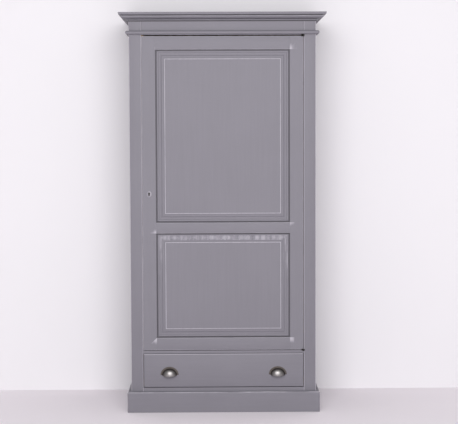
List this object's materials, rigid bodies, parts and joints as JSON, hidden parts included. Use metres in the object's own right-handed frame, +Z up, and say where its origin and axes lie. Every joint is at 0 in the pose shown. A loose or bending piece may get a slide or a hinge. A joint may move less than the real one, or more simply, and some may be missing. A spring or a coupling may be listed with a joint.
{
  "type": "wardrobe",
  "caption": "Free-standing painted wardrobe with a framed door of raised panels over a full-width drawer, a stepped cornice, a half-round bead and a plinth; the door turns on corner pivots.",
  "frame": {"origin": "middle of the footprint of the whole wardrobe at floor level", "axes": "+Z up, the door and drawer face -Y, +X to the right as seen from the front"},
  "size_m": [0.986, 0.588, 1.915],
  "materials": {
    "painted_wood": "matt grey-lilac paint with pale worn edges",
    "bare_wood": "unpainted pine, waxed",
    "pewter": "dark aged pewter, worn bright on the swell",
    "steel": "dull steel"
  },
  "bodies": {
    "carcass": {"left_side_panel": "painted_wood", "right_side_panel": "painted_wood", "left_post": "painted_wood", "right_post": "painted_wood", "bottom_rail": "painted_wood", "top_rail": "painted_wood", "rear_bottom_rail": "bare_wood", "wardrobe_floor": "painted_wood", "top_board": "painted_wood", "back_board_1": "bare_wood", "back_board_2": "bare_wood", "back_board_3": "bare_wood", "back_board_4": "bare_wood", "back_board_5": "bare_wood", "back_board_6": "bare_wood", "cornice_front": "painted_wood", "cornice_left": "painted_wood", "cornice_right": "painted_wood", "bead_front": "painted_wood", "bead_left": "painted_wood", "bead_right": "painted_wood", "plinth_front": "painted_wood", "plinth_left": "painted_wood", "plinth_right": "painted_wood", "hat_shelf": "bare_wood", "shelf_batten_left": "bare_wood", "shelf_batten_right": "bare_wood", "rail_socket_left": "steel", "rail_socket_right": "steel", "hanging_rail": "bare_wood", "door_stop_left": "bare_wood", "drawer_runner_left": "bare_wood", "drawer_runner_right": "bare_wood", "drawer_guide_left": "bare_wood", "drawer_guide_right": "bare_wood", "drawer_stop_left": "bare_wood", "drawer_stop_right": "bare_wood", "strike_plate": "steel", "hinge_frame_leaf_top": "steel", "hinge_frame_leaf_bottom": "steel"},
    "door": {"door_lock_stile": "painted_wood", "door_hinge_stile": "painted_wood", "door_bottom_rail": "painted_wood", "door_middle_rail": "painted_wood", "door_top_rail": "painted_wood", "door_lower_panel": "painted_wood", "door_upper_panel": "painted_wood", "lock_case": "steel", "keyhole_escutcheon": "painted_wood", "hinge_door_leaf_top": "steel", "hinge_door_leaf_bottom": "steel"},
    "lock_bolt": {"lock_bolt": "steel"},
    "drawer": {"drawer_front": "painted_wood", "drawer_side_left": "bare_wood", "drawer_side_right": "bare_wood", "drawer_bottom": "bare_wood", "drawer_back": "bare_wood", "cup_pull_left": "pewter", "cup_pull_right": "pewter"}
  },
  "joints": [
    {"name": "door_hinge", "type": "hinge", "parent": "carcass", "child": "door", "pos_m": [0.38575, -0.2515, 1.05], "axis": [0, 0, 1], "range_deg": [0, 105]},
    {"name": "lock_bolt_slide", "type": "slide", "parent": "door", "child": "lock_bolt", "axis": [-1, 0, 0], "range_m": [0, 0.008]},
    {"name": "drawer_slide", "type": "slide", "parent": "carcass", "child": "drawer", "axis": [0, -1, 0], "range_m": [0, 0.36]}
  ]
}
